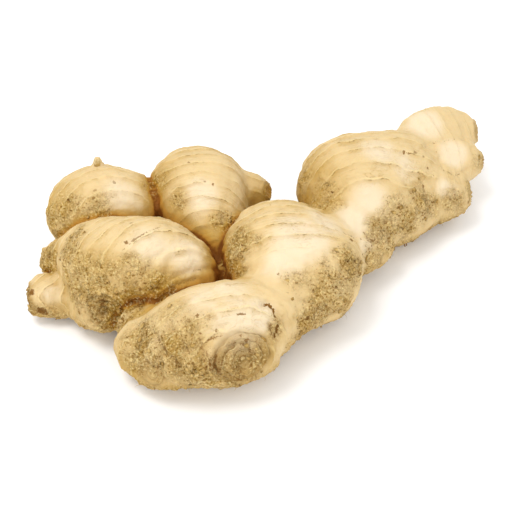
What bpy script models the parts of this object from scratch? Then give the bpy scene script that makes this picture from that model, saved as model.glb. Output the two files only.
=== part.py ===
"""A hand of fresh ginger root, lying on a table as it was lifted: one grown, solid piece of
knobbly lobes. The lobes are ellipsoids melted into each other, with the rings of old leaf
scars and the round eyes of buds and stems raised on them, and small flats where it rests.
Lobe sizes and places are in millimetres: X to the right, Y to the back, Z up from the table.
"""

import math
from dataclasses import dataclass

import bmesh
import bpy
import numpy as np
from mathutils import Euler, Matrix, Vector, noise
from mathutils.bvhtree import BVHTree

MM = 0.001
NAME = "ginger_root"

TABLE = -0.6  # height of the resting plane in the lobes' own millimetres: it cuts the small flats
FUSE_VOXEL = 1.2  # grain of the fused skin before it is settled
SETTLE_STEPS = 6
SMOOTH_TRIANGLES = 5000  # what the smooth form is thinned to, before the creases are cut into it
TRIANGLES = 11500  # what the finished skin is thinned to
CREASE_ANGLE = math.radians(12)  # the skin shades smoothly up to this bend
SKIN_COLOUR = (0.79, 0.62, 0.37, 1.0)
SKIN_ROUGHNESS = 0.6

SWELL = 0.7  # height of the broad unevenness of the skin
SWELL_SIZE = 15.0
CALM_HEIGHT = 8.0  # below this the skin is pressed smooth by what the root lies on
RING_WANDER = 1.4  # how far a ring strays from its plane
WANDER_SIZE = 19.0
RING_RISE = 0.65  # share of the way to the next ring over which the skin climbs, before it steps down
RIDGE_WIDTH = 0.17  # half width of a ridge round an eye, as a share of the eye's radius
EYE_GRAIN = 1.5  # longest edge of the skin at an eye
SLIVER = 0.02  # edges shorter than this are closed up
MENDINGS = 12
SNAP = 0.2  # a crease this near a vertex, as a share of the edge, moves it instead of adding one


@dataclass(frozen=True)
class Bulge:
    """An ellipsoid: centre and half sizes along, across and up, then its heading, and how softly it melts in."""

    centre: tuple
    radii: tuple
    heading: float = 0.0
    melt: float = 8.0
    power: float = 2.0  # 2 is an ellipsoid, more is blunter


@dataclass(frozen=True)
class Lobe:
    """A grown segment: its bulges, and the rings of leaf scars that cross its line of growth."""

    bulges: tuple
    growth: float = 0.0  # heading of the line of growth
    dip: float = 0.0  # how far the line of growth points down
    melt: float = 4.0  # how softly it runs into its neighbours
    ring_gap: float = 5.2
    ring_height: float = 0.9
    ring_reach: tuple = (-35.0, 35.0)  # where along the line the rings begin and end


@dataclass(frozen=True)
class Eye:
    """A round scar of a bud or stem: ridges round a sunken centre, at these shares of its radius."""

    place: tuple
    radius: float
    depth: float
    ridges: tuple = (0.6, 1.0)


LOBES = {
    "front": Lobe(
        (
            Bulge((-18.5, -43.5, 17.5), (25, 17.5, 18.5), 16),
            Bulge((-8.5, -42, 16.5), (15.5, 15, 16.5)),
            Bulge((-36, -44, 12), (13, 12, 11.5), melt=8),
            Bulge((-43.5, -44.5, 12), (9, 9, 10), melt=4),
            Bulge((-36.5, -51, 8.5), (9.5, 7.5, 7.5), melt=3.5),
        ),
        growth=-75,
        dip=-8,
        ring_gap=5.6,
    ),
    "middle": Lobe(
        (
            Bulge((7, -5, 21), (22, 22.5, 19), 120),
            Bulge((21.5, -14.5, 17.5), (19, 15, 17), 60, melt=8),
            Bulge((39, 4.5, 12), (11.5, 6, 6.5), 20),
            Bulge((6, -28.5, 17.5), (14, 12, 15.5), 60, melt=8),
        ),
        growth=-82,
        melt=8.0,
        ring_reach=(-35.0, 9.0),
    ),
    "neck": Lobe(
        (Bulge((30.5, 10.5, 15.5), (16.5, 14, 13), 50),),
        melt=9.0,
        ring_height=0.0,
    ),
    "web": Lobe(
        (
            Bulge((-16, -13, 8.5), (18, 18, 8)),
            Bulge((-36, 9, 8.5), (15, 12, 7.5)),
            Bulge((-40, -31, 11), (15, 9, 9.5), -8),
            Bulge((-70, -7, 8.5), (10, 7, 7.5)),
        ),
        melt=5.0,
        ring_height=0.0,
    ),
    "back": Lobe(
        (
            Bulge((33, 32, 21), (20, 19, 22), 120),
            Bulge((48.5, 26, 15.5), (19, 14, 15), 30, melt=10.5),
            Bulge((55.5, 29.5, 10.5), (12, 9.5, 8.5)),
            Bulge((48.5, 42.5, 22.5), (22.5, 15.5, 16.5), 30, melt=12),
            Bulge((59, 40, 23.5), (10.5, 8, 8), 25, melt=4.5),
        ),
        growth=-72,
        dip=-5,
        melt=6.0,
        ring_gap=5.6,
        ring_height=1.0,
        ring_reach=(-35.0, 10.0),
    ),
    "top_finger": Lobe(
        (
            Bulge((69.5, 65.5, 23), (17.5, 11.5, 11.5), 40),
            Bulge((82, 72, 19), (9.5, 9.5, 9.5), melt=4.5),
        ),
        growth=30,
        melt=6.0,
        ring_height=0.3,
    ),
    "middle_finger": Lobe(
        (Bulge((75.5, 54, 16.5), (16.5, 9.5, 10.5), 15),),
        growth=15,
        melt=6.5,
        ring_height=0.3,
    ),
    "low_finger": Lobe(
        (Bulge((70.5, 38.5, 12.5), (15, 10, 12), 12),),
        growth=12,
        melt=6.5,
        ring_height=0.3,
    ),
    "left": Lobe(
        (
            Bulge((-48, -11.5, 21), (26.5, 18, 19), 4),
            Bulge((-31.5, -14, 15.5), (15, 15, 14)),
            Bulge((-63, -1, 18), (14.5, 12, 12.5), 15, melt=8),
            Bulge((-76, 1, 11.5), (10, 8.5, 8.5), melt=7),
            Bulge((-59.5, -19, 9.5), (14, 12, 10), melt=6),
            Bulge((-57.5, -24, 13.5), (9.5, 8.5, 9), melt=4),
            Bulge((-77.5, -15, 8.5), (10.5, 7, 7), melt=2.5, power=3.5),
        ),
        growth=-50,
        dip=-25,
    ),
    "back_left": Lobe(
        (
            Bulge((-65, 22.5, 17.5), (20, 19, 18.5)),
            Bulge((-54, 25.5, 16), (13.5, 15, 15)),
            Bulge((-64.5, 31.5, 34), (2, 2, 4.5), melt=2.5),
        ),
        growth=-67,
        dip=-20,
        ring_height=0.7,
    ),
    "rear": Lobe(
        (
            Bulge((-26, 33, 19), (19, 20, 18.5), 90),
            Bulge((-22, 19, 15.5), (15, 15, 15), 90, melt=8.5),
            Bulge((-15.5, 8.5, 13), (11.5, 10.5, 11.5), 90, melt=8.5),
            Bulge((-6, 37.5, 15.5), (9.5, 8, 8.5), melt=3.5),
        ),
        growth=-85,
        ring_gap=4.8,
        ring_height=0.9,
    ),
}

EYES = (
    Eye((-7, -57.5, 21), 10.5, 1.6, (0.5, 0.8, 1.15, 1.75, 2.4)),
    Eye((-38.5, -59, 14), 6, 0.8),
    Eye((-57.5, -31, 17), 6, 1.4, (0.45, 0.8, 1.2)),
    Eye((-88, -16.5, 8.5), 6, 0.9),
    Eye((2.5, 35.5, 17.5), 4.5, 0.8),
    Eye((90.5, 70.5, 22), 4.5, 0.9),
    Eye((92, 56.5, 16.5), 4.5, 0.9),
    Eye((83.5, 39, 9.5), 4.5, 0.9),
    Eye((49.5, 7, 10.5), 3.5, 0.8),
    Eye((-85.5, 0, 13), 4.5, 0.8),
)


def clear_scene():
    for old in list(bpy.data.objects):
        bpy.data.objects.remove(old)


def unit(vectors):
    return vectors / (np.linalg.norm(vectors, axis=1, keepdims=True) + 1e-12)


def bulge_field(points, bulge):
    """Distance from each point to the bulge's surface, less than zero inside, and the way out."""
    turn = np.array(Matrix.Rotation(math.radians(bulge.heading), 3, "Z"))
    radii = np.array(bulge.radii)
    local = (points - np.array(bulge.centre)) @ turn
    share = np.abs(local / radii) + 1e-9
    reach = (share**bulge.power).sum(1) ** (1 / bulge.power)
    slope = np.sign(local) * (share / reach[:, None]) ** (bulge.power - 1) / radii
    steepness = np.linalg.norm(slope, axis=1)
    return (reach - 1) / steepness, unit(slope) @ turn.T


def melted(first, second, melt):
    """Two fields joined with a fillet whose width is set by melt."""
    (near, way), (other, other_way) = first, second
    share = np.clip(0.5 + 0.5 * (other - near) / melt, 0, 1)
    distance = near * share + other * (1 - share) - melt * share * (1 - share)
    return distance, unit(way * share[:, None] + other_way * (1 - share)[:, None])


def lobe_field(points, lobe):
    field = bulge_field(points, lobe.bulges[0])
    for bulge in lobe.bulges[1:]:
        field = melted(field, bulge_field(points, bulge), bulge.melt)
    return field


def root_field(points):
    """The field of the whole root, and each lobe's own distance by name."""
    field, distances = None, {}
    for name, lobe in LOBES.items():
        own = lobe_field(points, lobe)
        distances[name] = own[0]
        field = own if field is None else melted(field, own, lobe.melt)
    return field, distances


def coordinates(mesh):
    points = np.empty(len(mesh.vertices) * 3)
    mesh.vertices.foreach_get("co", points)
    return points.reshape(-1, 3)


def set_coordinates(mesh, points):
    mesh.vertices.foreach_set("co", points.astype(np.float32).ravel())
    mesh.update()


def noise_at(points, size, seed):
    """Smooth noise from -1 to 1 at each point, with lumps about as wide as size."""
    shift = Vector((seed * 17.0, seed * 5.0, seed * 11.0))
    return np.array([noise.fractal(Vector(p) / size + shift, 1.0, 2.0, 3) for p in points])


def evaluated_copy(obj, modifier_type, **settings):
    """The object's mesh with one modifier applied, as a new mesh."""
    modifier = obj.modifiers.new(modifier_type.title(), modifier_type)
    for setting, value in settings.items():
        setattr(modifier, setting, value)
    graph = bpy.context.evaluated_depsgraph_get()
    made = bpy.data.meshes.new_from_object(obj.evaluated_get(graph))
    obj.modifiers.remove(modifier)
    return made


def fused_bulges():
    """All bulges as overlapping spheres, fused into one closed skin."""
    shape = bmesh.new()
    for lobe in LOBES.values():
        for bulge in lobe.bulges:
            turn = Euler((0, 0, math.radians(bulge.heading)))
            place = Matrix.LocRotScale(Vector(bulge.centre), turn, Vector(bulge.radii))
            bmesh.ops.create_icosphere(shape, subdivisions=4, radius=1.0, matrix=place)
    mesh = bpy.data.meshes.new(NAME)
    shape.to_mesh(mesh)
    shape.free()
    root = bpy.data.objects.new(NAME, mesh)
    group = bpy.data.collections.new("ginger")
    bpy.context.scene.collection.children.link(group)
    group.objects.link(root)
    root.data = evaluated_copy(root, "REMESH", mode="VOXEL", voxel_size=FUSE_VOXEL)
    return root


def settled(points):
    """The points moved onto the melted form, with the ways out there and the lobes' distances."""
    for _ in range(SETTLE_STEPS):
        (distance, way), _ = root_field(points)
        points = points - distance[:, None] * way
    (_, way), distances = root_field(points)
    return points, way, distances


def thin_out(root, triangles):
    """Keeps the triangles where the skin bends most."""
    root.data.calc_loop_triangles()
    share = triangles / len(root.data.loop_triangles)
    root.data = evaluated_copy(root, "DECIMATE", ratio=min(share, 1.0), use_collapse_triangulate=True)


def drop_crumbs(shape):
    """Removes the flat crumbs that thinning can leave loose in a cleft, and keeps the root."""
    unseen = set(shape.verts)
    islands = []
    while unseen:
        island, reached = set(), [unseen.pop()]
        while reached:
            vert = reached.pop()
            island.add(vert)
            for edge in vert.link_edges:
                other = edge.other_vert(vert)
                if other in unseen:
                    unseen.remove(other)
                    reached.append(other)
        islands.append(island)
    islands.sort(key=len)
    for crumb in islands[:-1]:
        bmesh.ops.delete(shape, geom=list(crumb), context="VERTS")


def open_rim(shape):
    return [edge for edge in shape.edges if edge.is_boundary]


def close_holes(shape):
    """Closes every open rim with flat triangles."""
    bmesh.ops.holes_fill(shape, edges=open_rim(shape), sides=0)
    bmesh.ops.triangulate(shape, faces=shape.faces[:])
    left_open = open_rim(shape)
    if left_open:
        bmesh.ops.triangle_fill(shape, edges=left_open, use_beauty=True)


def pinched_verts(shape):
    """Vertices at which the skin touches itself or runs through itself."""
    tree = BVHTree.FromBMesh(shape)
    shape.faces.ensure_lookup_table()
    pinched = {vert for vert in shape.verts if not vert.is_manifold}
    for first, second in tree.overlap(tree):
        one, other = set(shape.faces[first].verts), set(shape.faces[second].verts)
        if not one & other:
            pinched |= one | other
    return list(pinched)


def mend(shape):
    """Opens the few places where thinning has pinched a cleft, and closes them again simply."""
    for _ in range(MENDINGS):
        bmesh.ops.remove_doubles(shape, verts=shape.verts[:], dist=SLIVER)
        bmesh.ops.dissolve_degenerate(shape, edges=shape.edges[:], dist=SLIVER)
        bmesh.ops.triangulate(shape, faces=shape.faces[:])
        drop_crumbs(shape)
        close_holes(shape)
        pinched = pinched_verts(shape)
        if not pinched:
            break
        bmesh.ops.delete(shape, geom=pinched, context="VERTS")
        close_holes(shape)


def ring_number(points, lobe):
    """How many rings along the lobe's line of growth each point is."""
    turn = Euler((0, math.radians(lobe.dip), math.radians(lobe.growth)))
    growth = np.array(turn.to_matrix() @ Vector((1, 0, 0)))
    wander = RING_WANDER * noise_at(points, WANDER_SIZE, seed=1)
    along = (points - np.array(lobe.bulges[0].centre)) @ growth
    return (along + wander) / lobe.ring_gap


def eye_profile(eye):
    """Shares of the eye's radius, and the skin's height there: sunken in the middle, up on each ridge."""
    shares, heights = [0.0, eye.ridges[0] - RIDGE_WIDTH], [-1.0, -0.8]
    for ridge in eye.ridges:
        shares += [ridge, ridge + RIDGE_WIDTH]
        heights += [0.6, -0.2]
    heights[-1] = 0.0
    return np.array(shares), np.array(heights) * eye.depth


def eye_share(points, eye):
    return np.linalg.norm(points - np.array(eye.place), axis=1) / eye.radius


def cross(shape, edge, level, layer, fixed):
    """The vertex at which the edge passes the level: one of its ends where that is near, or a new one."""
    start, end = edge.verts
    share = (level - start[layer]) / (end[layer] - start[layer])
    place = start.co.lerp(end.co, share)
    if share < SNAP and start not in fixed:
        vert = start
    elif share > 1 - SNAP and end not in fixed:
        vert = end
    else:
        vert = bmesh.utils.edge_split(edge, start, share)[1]
    vert.co = place
    vert[layer] = level
    return vert


def cut_along(shape, values, levels):
    """Adds edges where the values at the vertices pass each level, so that a crease can run there."""
    layer = shape.verts.layers.float.new("value")
    for vert, value in zip(shape.verts, values):
        vert[layer] = value
    fixed = set()
    for level in levels:
        on_level = []
        for edge in shape.edges[:]:
            low, high = sorted(vert[layer] for vert in edge.verts)
            if low < level < high:
                on_level.append(cross(shape, edge, level, layer, fixed))
        fixed.update(on_level)
        bmesh.ops.connect_verts(shape, verts=list(fixed.intersection(on_level)))
    shape.verts.layers.float.remove(layer)
    bmesh.ops.triangulate(shape, faces=shape.faces[:])


def shape_points(shape):
    return np.array([vert.co for vert in shape.verts])


def cut_rings(shape):
    """Edges along the top and the foot of every ring."""
    for name, lobe in LOBES.items():
        if not lobe.ring_height:
            continue
        points = shape_points(shape)
        distances = root_field(points)[1]
        nearest = np.min(list(distances.values()), axis=0)
        number = ring_number(points, lobe)
        number[distances[name] > nearest + 0.5] = np.nan
        whole = np.arange(math.ceil(lobe.ring_reach[0] / lobe.ring_gap), lobe.ring_reach[1] / lobe.ring_gap)
        cut_along(shape, number, np.concatenate((whole, whole + RING_RISE)))


def cut_eyes(shape):
    """A finer skin at every eye, with edges along its ridges."""
    for eye in EYES:
        reach = eye.radius * (min(eye.ridges[-1], 1.2) + 0.4)
        for _ in range(3):
            long_edges = [
                edge
                for edge in shape.edges
                if edge.calc_length() > EYE_GRAIN
                and ((edge.verts[0].co + edge.verts[1].co) / 2 - Vector(eye.place)).length < reach
            ]
            if not long_edges:
                break
            bmesh.ops.subdivide_edges(shape, edges=long_edges, cuts=1)
            bmesh.ops.triangulate(shape, faces=shape.faces[:])
        share = eye_share(shape_points(shape), eye)
        cut_along(shape, share, eye_profile(eye)[0][1:])


def ring_relief(points, distances):
    """Shingled rings: the skin climbs towards the next ring and steps down at it."""
    fade = np.clip(0.75 + 0.6 * noise_at(points, WANDER_SIZE, seed=2), 0.3, 1.2)
    nearest = np.min(list(distances.values()), axis=0)
    relief = np.zeros(len(points))
    for name, lobe in LOBES.items():
        number = ring_number(points, lobe)
        turn = number % 1.0
        saw = np.minimum(turn / RING_RISE, (1 - turn) / (1 - RING_RISE)) - 0.5
        begin, end = np.array(lobe.ring_reach) / lobe.ring_gap
        inside = np.clip(number - begin, 0, 1) * np.clip(end - number, 0, 1)
        own = np.clip(1 - (distances[name] - nearest), 0, 1)
        relief += lobe.ring_height * saw * inside * own * fade
    return relief


def relief_at(points, distances):
    """All that stands up from the melted form or sinks into it."""
    relief = ring_relief(points, distances)
    for eye in EYES:
        share = eye_share(points, eye)
        relief *= np.clip((share - eye.ridges[-1]) / RIDGE_WIDTH, 0, 1)
        relief += np.interp(share, *eye_profile(eye), right=0.0)
    relief += SWELL * noise_at(points, SWELL_SIZE, seed=3)
    return relief * np.clip((points[:, 2] - TABLE) / CALM_HEIGHT, 0, 1)


def grow_skin(root):
    """Settles the fused skin on the lobes' form, creases it, and raises its rings and eyes."""
    set_coordinates(root.data, settled(coordinates(root.data))[0])
    thin_out(root, SMOOTH_TRIANGLES)
    shape = bmesh.new()
    shape.from_mesh(root.data)
    cut_rings(shape)
    cut_eyes(shape)
    shape.to_mesh(root.data)
    shape.free()
    points, way, distances = settled(coordinates(root.data))
    set_coordinates(root.data, points + relief_at(points, distances)[:, None] * way)
    thin_out(root, TRIANGLES)


def stand_on_table(root):
    """Cuts the flats at the resting plane, and puts the origin under the middle of the root."""
    shape = bmesh.new()
    shape.from_mesh(root.data)
    mend(shape)
    whole = shape.verts[:] + shape.edges[:] + shape.faces[:]
    bmesh.ops.bisect_plane(
        shape, geom=whole, plane_co=(0, 0, TABLE), plane_no=(0, 0, 1), clear_inner=True
    )
    close_holes(shape)
    mend(shape)
    bmesh.ops.recalc_face_normals(shape, faces=shape.faces[:])
    shape.to_mesh(root.data)
    shape.free()
    points = coordinates(root.data)
    low, high = points.min(0), points.max(0)
    points -= np.array(((low[0] + high[0]) / 2, (low[1] + high[1]) / 2, TABLE))
    points[:, 2] = np.where(points[:, 2] < 1e-4, 0.0, points[:, 2])
    set_coordinates(root.data, points * MM)


def skin_material():
    material = bpy.data.materials.new("ginger_skin")
    material.use_nodes = True
    shader = material.node_tree.nodes["Principled BSDF"]
    shader.inputs["Base Color"].default_value = SKIN_COLOUR
    shader.inputs["Roughness"].default_value = SKIN_ROUGHNESS
    return material


def main():
    clear_scene()
    root = fused_bulges()
    grow_skin(root)
    stand_on_table(root)
    root.data.shade_smooth()
    root.data.set_sharp_from_angle(angle=CREASE_ANGLE)
    root.data.materials.append(skin_material())


main()
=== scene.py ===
"""Dresses a hand of fresh ginger root on a pale table.

The solid form gives way to a finer skin grown from the same lobes. The skin carries the rings of
old leaf scars, scaly and smooth zones, creases, specks and round stem scars. Dry scales, rootlet
stubs, fine fibres and a bud's sheath sit on it.
Lobe sizes and places are in millimetres: X to the right, Y to the back, Z up from the table.
"""

import logging
import math
import random
from dataclasses import dataclass
from enum import Enum

import bmesh
import bpy
import numpy as np
from mathutils import Euler, Matrix, Vector, noise
from mathutils.bvhtree import BVHTree


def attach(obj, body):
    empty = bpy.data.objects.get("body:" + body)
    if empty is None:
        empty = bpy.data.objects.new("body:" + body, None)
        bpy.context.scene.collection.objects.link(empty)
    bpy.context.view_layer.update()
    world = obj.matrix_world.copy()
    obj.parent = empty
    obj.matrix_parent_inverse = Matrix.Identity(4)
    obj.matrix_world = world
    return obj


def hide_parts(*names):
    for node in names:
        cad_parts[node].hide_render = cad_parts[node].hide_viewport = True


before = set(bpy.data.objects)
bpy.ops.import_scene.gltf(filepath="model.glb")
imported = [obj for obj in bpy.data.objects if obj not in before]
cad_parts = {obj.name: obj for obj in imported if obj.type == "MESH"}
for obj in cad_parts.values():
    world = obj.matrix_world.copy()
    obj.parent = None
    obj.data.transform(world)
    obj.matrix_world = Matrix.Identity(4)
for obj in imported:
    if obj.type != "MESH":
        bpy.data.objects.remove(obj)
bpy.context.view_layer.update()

MM = 0.001
NODE = "ginger_root"
BODY = "root"
IMAGE_SIDE = 512
TABLE = -0.6  # the resting plane in the lobes' own millimetres
FOOTPRINT_MIDDLE = (1.52, 9.71)  # the part's origin in the lobes' own millimetres
RING_WANDER = 1.4
WANDER_SIZE = 19.0
SWELL = 0.7
SWELL_SIZE = 15.0
CALM_HEIGHT = 8.0

Colour = tuple[float, float, float, float]
Place = tuple[float, float, float]
Pixel = tuple[float, float]

log = logging.getLogger("ginger")


@dataclass(frozen=True)
class Bulge:
    """An ellipsoid: centre and half sizes along, across and up, its heading, and how softly it melts in."""

    centre: Place
    radii: Place
    heading: float = 0.0
    melt: float = 8.0
    power: float = 2.0


@dataclass(frozen=True)
class Lobe:
    """A grown segment: its bulges, and the rings of leaf scars that cross its line of growth."""

    bulges: tuple[Bulge, ...]
    growth: float = 0.0
    dip: float = 0.0
    melt: float = 2.2
    ring_gap: float = 5.2
    ring_height: float = 0.9
    ring_reach: tuple[float, float] = (-35.0, 35.0)

    def line(self) -> np.ndarray:
        """Returns: the unit line of growth."""
        turn = Euler((0, math.radians(self.dip), math.radians(self.growth)))
        return np.array(turn.to_matrix() @ Vector((1, 0, 0)))


@dataclass(frozen=True)
class Eye:
    """A round scar of a bud or stem: ridges round a sunken centre, at these shares of its radius."""

    place: Place
    radius: float
    depth: float
    ridges: tuple[float, ...] = (0.6, 1.0)
    stain: float = 0.4


LOBES: dict[str, Lobe] = {
    "front": Lobe(
        (
            Bulge((-18.5, -43.5, 17.5), (25, 17.5, 18.5), 16),
            Bulge((-8.5, -42, 16.5), (15.5, 15, 16.5)),
            Bulge((-36, -44, 12), (13, 12, 11.5), melt=8),
            Bulge((-43.5, -44.5, 12), (9, 9, 10), melt=4),
            Bulge((-36.5, -51, 8.5), (9.5, 7.5, 7.5), melt=3.5),
        ),
        growth=-75,
        dip=-8,
        ring_gap=5.6,
    ),
    "middle": Lobe(
        (
            Bulge((7, -5, 21), (22, 22.5, 19), 120),
            Bulge((21.5, -14.5, 17.5), (19, 15, 17), 60, melt=8),
            Bulge((39, 4.5, 12), (11.5, 6, 6.5), 20),
            Bulge((6, -28.5, 17.5), (14, 12, 15.5), 60, melt=8),
        ),
        growth=-82,
        melt=8.0,
        ring_reach=(-35.0, 15.0),
    ),
    "neck": Lobe((Bulge((30.5, 10.5, 15.5), (16.5, 14, 13), 50),), melt=9.0, ring_height=0.0),
    "web": Lobe(
        (
            Bulge((-16, -13, 8.5), (18, 18, 8)),
            Bulge((-36, 9, 8.5), (15, 12, 7.5)),
            Bulge((-40, -31, 11), (15, 9, 9.5), -8),
            Bulge((-70, -7, 8.5), (10, 7, 7.5)),
        ),
        melt=5.0,
        ring_height=0.0,
    ),
    "back": Lobe(
        (
            Bulge((33, 32, 21), (20, 19, 22), 120),
            Bulge((48.5, 26, 15.5), (19, 14, 15), 30, melt=10.5),
            Bulge((55.5, 29.5, 10.5), (12, 9.5, 8.5)),
            Bulge((48.5, 42.5, 22.5), (22.5, 15.5, 16.5), 30, melt=12),
            Bulge((59, 40, 23.5), (10.5, 8, 8), 25, melt=4.5),
        ),
        growth=-72,
        dip=-5,
        melt=6.0,
        ring_gap=5.6,
        ring_height=1.0,
        ring_reach=(-35.0, 19.0),
    ),
    "top_finger": Lobe(
        (
            Bulge((69.5, 65.5, 23), (17.5, 11.5, 11.5), 40),
            Bulge((82, 72, 19), (9.5, 9.5, 9.5), melt=4.5),
        ),
        growth=30,
        melt=6.0,
        ring_height=0.3,
    ),
    "middle_finger": Lobe(
        (Bulge((75.5, 54, 16.5), (16.5, 9.5, 10.5), 15),),
        growth=15,
        melt=6.5,
        ring_height=0.3,
    ),
    "low_finger": Lobe((Bulge((70.5, 38.5, 12.5), (15, 10, 12), 12),), growth=12, melt=6.5, ring_height=0.3),
    "left": Lobe(
        (
            Bulge((-48, -11.5, 21), (26.5, 18, 19), 4),
            Bulge((-31.5, -14, 15.5), (15, 15, 14)),
            Bulge((-63, -1, 18), (14.5, 12, 12.5), 15, melt=8),
            Bulge((-76, 1, 11.5), (10, 8.5, 8.5), melt=7),
            Bulge((-59.5, -19, 9.5), (14, 12, 10), melt=6),
            Bulge((-57.5, -24, 13.5), (9.5, 8.5, 9), melt=4),
            Bulge((-77.5, -15, 8.5), (10.5, 7, 7), melt=2.5, power=3.5),
        ),
        growth=-50,
        dip=-25,
    ),
    "back_left": Lobe(
        (
            Bulge((-65, 22.5, 17.5), (20, 19, 18.5)),
            Bulge((-54, 25.5, 16), (13.5, 15, 15)),
            Bulge((-64.5, 31.5, 34), (2, 2, 4.5), melt=2.5),
        ),
        growth=-67,
        dip=-20,
        ring_height=0.7,
    ),
    "rear": Lobe(
        (
            Bulge((-26, 33, 19), (19, 20, 18.5), 90),
            Bulge((-22, 19, 15.5), (15, 15, 15), 90, melt=8.5),
            Bulge((-15.5, 8.5, 13), (11.5, 10.5, 11.5), 90, melt=8.5),
            Bulge((-6, 37.5, 15.5), (9.5, 8, 8.5), melt=3.5),
        ),
        growth=-85,
        ring_gap=4.8,
    ),
}

EYES: dict[str, Eye] = {
    "stem_scar": Eye((-7, -57.5, 21), 10.5, 1.6, (0.5, 0.8, 1.15, 1.75, 2.4), stain=0.75),
    "front_bud": Eye((-38.5, -59, 14), 6, 0.8, stain=0.25),
    "left_bud": Eye((-57.5, -31, 17), 6.5, 1.9, (0.45, 0.8, 1.2), stain=0.8),
    "nub_end": Eye((-88, -16.5, 8.5), 6, 0.9, stain=0.9),
    "rear_knob": Eye((2.5, 35.5, 17.5), 4.5, 0.8),
    "top_tip": Eye((90.5, 70.5, 22), 4.5, 0.9, stain=0.3),
    "middle_tip": Eye((92, 56.5, 16.5), 4.5, 0.9, stain=0.3),
    "low_tip": Eye((83.5, 39, 9.5), 4.5, 0.9, stain=0.3),
    "side_bump": Eye((49.5, 7, 10.5), 3.5, 0.8),
    "left_bump": Eye((-85.5, 0, 13), 4.5, 0.8),
}


PARTED = ("left", "back_left", "rear")  # lobes that a deep cleft parts from their neighbours


def unit(vectors: np.ndarray) -> np.ndarray:
    """Returns: the vectors at length 1."""
    return vectors / (np.linalg.norm(vectors, axis=1, keepdims=True) + 1e-12)


def smooth_step(values: np.ndarray, low: float, high: float) -> np.ndarray:
    """Returns: 0 below low, 1 above high, and a soft rise between them."""
    share = np.clip((values - low) / (high - low), 0, 1)
    return share * share * (3 - 2 * share)


def noise_at(points: np.ndarray, size: float, seed: int, octaves: int = 3) -> np.ndarray:
    """Smooth noise.

    Args:
        points: places in lobe millimetres.
        size: how wide a lump of the noise is.
        seed: which of many unlike noises.
        octaves: how many finer layers it has.

    Returns:
        A value from about -1 to 1 for each point.
    """
    shift = Vector((seed * 17.0, seed * 5.0, seed * 11.0))
    return np.array([noise.fractal(Vector(p) / size + shift, 1.0, 2.0, octaves) for p in points])


def cells_at(points: np.ndarray, size: float, seed: int) -> tuple[np.ndarray, np.ndarray, np.ndarray]:
    """Cells scattered through space.

    Args:
        points: places in lobe millimetres.
        size: how far apart the cells' middles are.
        seed: which of many unlike scatters.

    Returns:
        For each point the distance to the nearest middle, how much further the second one is, and the
        way from the nearest middle, all in cell sizes.
    """
    shift = Vector((seed * 13.0, seed * 7.0, seed * 3.0))
    near, gap, way = [], [], []
    for p in points:
        place = Vector(p) / size + shift
        distances, middles = noise.voronoi(place)
        near.append(distances[0])
        gap.append(distances[1] - distances[0])
        way.append(place - middles[0])
    return np.array(near), np.array(gap), np.array(way)


@dataclass(frozen=True)
class RootForm:
    """The lobes melted into one another, as a field of distances in lobe millimetres."""

    lobes: dict[str, Lobe]

    @staticmethod
    def bulge_field(points: np.ndarray, bulge: Bulge) -> tuple[np.ndarray, np.ndarray]:
        """Returns: the distance to the bulge's surface, less than zero inside, and the way out."""
        turn = np.array(Matrix.Rotation(math.radians(bulge.heading), 3, "Z"))
        radii = np.array(bulge.radii)
        local = (points - np.array(bulge.centre)) @ turn
        share = np.abs(local / radii) + 1e-9
        reach = (share**bulge.power).sum(1) ** (1 / bulge.power)
        slope = np.sign(local) * (share / reach[:, None]) ** (bulge.power - 1) / radii
        return (reach - 1) / np.linalg.norm(slope, axis=1), unit(slope) @ turn.T

    @staticmethod
    def melted(
        first: tuple[np.ndarray, np.ndarray], second: tuple[np.ndarray, np.ndarray], melt: float
    ) -> tuple[np.ndarray, np.ndarray]:
        """Returns: the two fields joined with a fillet whose width is set by melt."""
        (near, way), (other, other_way) = first, second
        share = np.clip(0.5 + 0.5 * (other - near) / melt, 0, 1)
        distance = near * share + other * (1 - share) - melt * share * (1 - share)
        return distance, unit(way * share[:, None] + other_way * (1 - share)[:, None])

    def lobe_field(self, points: np.ndarray, lobe: Lobe) -> tuple[np.ndarray, np.ndarray]:
        """Returns: the field of one lobe's own bulges."""
        field = self.bulge_field(points, lobe.bulges[0])
        for bulge in lobe.bulges[1:]:
            field = self.melted(field, self.bulge_field(points, bulge), bulge.melt)
        return field

    def field(self, points: np.ndarray) -> tuple[np.ndarray, np.ndarray, dict[str, np.ndarray]]:
        """Returns: distance and way out of the whole root, and each lobe's own distance."""
        whole, distances = None, {}
        for name, lobe in self.lobes.items():
            own = self.lobe_field(points, lobe)
            distances[name] = own[0]
            whole = own if whole is None else self.melted(whole, own, lobe.melt)
        return whole[0], whole[1], distances

    def settled(self, points: np.ndarray, steps: int) -> np.ndarray:
        """Returns: the points moved onto the melted form in that many steps."""
        for _ in range(steps):
            distance, way, _ = self.field(points)
            points = points - np.clip(distance, -3, 3)[:, None] * way
        return points

    @staticmethod
    def to_metres(points: np.ndarray) -> np.ndarray:
        """Returns: lobe millimetres as the part's own metres."""
        return (points - np.array((*FOOTPRINT_MIDDLE, TABLE))) * MM

    @staticmethod
    def to_lobes(points: np.ndarray) -> np.ndarray:
        """Returns: the part's own metres as lobe millimetres."""
        return points / MM + np.array((*FOOTPRINT_MIDDLE, TABLE))


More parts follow.
